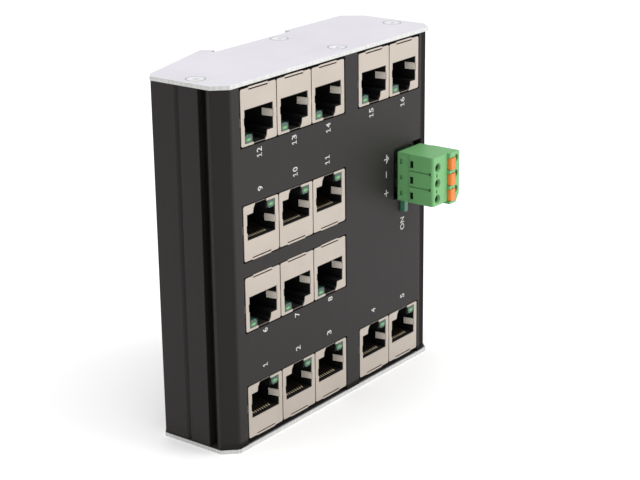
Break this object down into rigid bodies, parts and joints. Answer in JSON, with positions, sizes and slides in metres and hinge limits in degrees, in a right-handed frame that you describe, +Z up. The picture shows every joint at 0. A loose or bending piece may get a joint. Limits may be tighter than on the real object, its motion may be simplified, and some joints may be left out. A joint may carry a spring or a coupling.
{
  "type": "ethernet switch",
  "caption": "Rail-mounted network switch: extruded black case with bare end plates, shielded jacks in the front and a pull-off push-in supply plug.",
  "frame": {"origin": "on the surface that the lower end plate stands on, midway between the sides and 25.5 mm in front of the back's highest line", "axes": "+Z up along the extrusion, -Y out of the front panel with the jacks, +Y towards the rail, +X towards the latch side, which points down in service"},
  "size_m": [0.104, 0.052, 0.1094],
  "materials": {
    "anodised_black": "satin black anodised, fine extrusion grain",
    "bare_aluminium": "satin bare sheet, cut edges",
    "screw_steel": "zinc plated, satin",
    "latch_steel": "zinc plated stamped steel",
    "spring_steel": "bright spring strip",
    "board_green": "solder mask over glass laminate",
    "chip_black": "moulded epoxy",
    "capacitor_ochre": "moulded epoxy",
    "light_pipe": "clear moulded light pipe with a green cast",
    "header_black": "moulded polyamide",
    "contact_gold": "gold flashed",
    "plug_green": "moulded polyamide, light texture",
    "button_orange": "moulded polyamide",
    "shield_nickel": "warm nickel plated sheet, satin",
    "insert_black": "moulded thermoplastic"
  },
  "bodies": {
    "case": {"front_cover": "anodised_black", "rear_shell": "anodised_black", "top_end_plate": "bare_aluminium", "bottom_end_plate": "bare_aluminium", "top_plate_screws": "screw_steel", "bottom_plate_screws": "screw_steel", "latch_spring": "spring_steel", "latch_screw": "screw_steel", "port_contacts": "contact_gold", "main_board": "board_green", "switch_chip_a": "chip_black", "switch_chip_b": "chip_black", "supply_inductor": "chip_black", "supply_capacitors": "capacitor_ochre", "power_led": "light_pipe", "power_header": "header_black", "header_pins": "contact_gold", "port_leds_row_1": "light_pipe", "port_leds_row_2": "light_pipe", "port_leds_row_3": "light_pipe", "port_leds_row_4": "light_pipe", "jack_01_shield": "shield_nickel", "jack_01_insert": "insert_black", "jack_02_shield": "shield_nickel", "jack_02_insert": "insert_black", "jack_03_shield": "shield_nickel", "jack_03_insert": "insert_black", "jack_04_shield": "shield_nickel", "jack_04_insert": "insert_black", "jack_05_shield": "shield_nickel", "jack_05_insert": "insert_black", "jack_06_shield": "shield_nickel", "jack_06_insert": "insert_black", "jack_07_shield": "shield_nickel", "jack_07_insert": "insert_black", "jack_08_shield": "shield_nickel", "jack_08_insert": "insert_black", "jack_09_shield": "shield_nickel", "jack_09_insert": "insert_black", "jack_10_shield": "shield_nickel", "jack_10_insert": "insert_black", "jack_11_shield": "shield_nickel", "jack_11_insert": "insert_black", "jack_12_shield": "shield_nickel", "jack_12_insert": "insert_black", "jack_13_shield": "shield_nickel", "jack_13_insert": "insert_black", "jack_14_shield": "shield_nickel", "jack_14_insert": "insert_black", "jack_15_shield": "shield_nickel", "jack_15_insert": "insert_black", "jack_16_shield": "shield_nickel", "jack_16_insert": "insert_black"},
    "plug": {"plug_housing": "plug_green", "plug_contacts": "contact_gold"},
    "button_1": {"release_button_1": "button_orange"},
    "button_2": {"release_button_2": "button_orange"},
    "button_3": {"release_button_3": "button_orange"},
    "latch": {"rail_latch": "latch_steel"}
  },
  "joints": [
    {"name": "plug_pull", "type": "slide", "parent": "case", "child": "plug", "axis": [0, -1, 0], "range_m": [0, 0.0125]},
    {"name": "button_1_press", "type": "slide", "parent": "plug", "child": "button_1", "axis": [0, 1, 0], "range_m": [0, 0.0012], "stiffness_N_per_m": 500, "springref_m": -0.0005},
    {"name": "button_2_press", "type": "slide", "parent": "plug", "child": "button_2", "axis": [0, 1, 0], "range_m": [0, 0.0012], "stiffness_N_per_m": 500, "springref_m": -0.0005},
    {"name": "button_3_press", "type": "slide", "parent": "plug", "child": "button_3", "axis": [0, 1, 0], "range_m": [0, 0.0012], "stiffness_N_per_m": 500, "springref_m": -0.0005},
    {"name": "latch_slide", "type": "slide", "parent": "case", "child": "latch", "axis": [1, 0, 0], "range_m": [0, 0.003], "stiffness_N_per_m": 800, "springref_m": -0.002, "deforming": ["latch_spring"]}
  ]
}
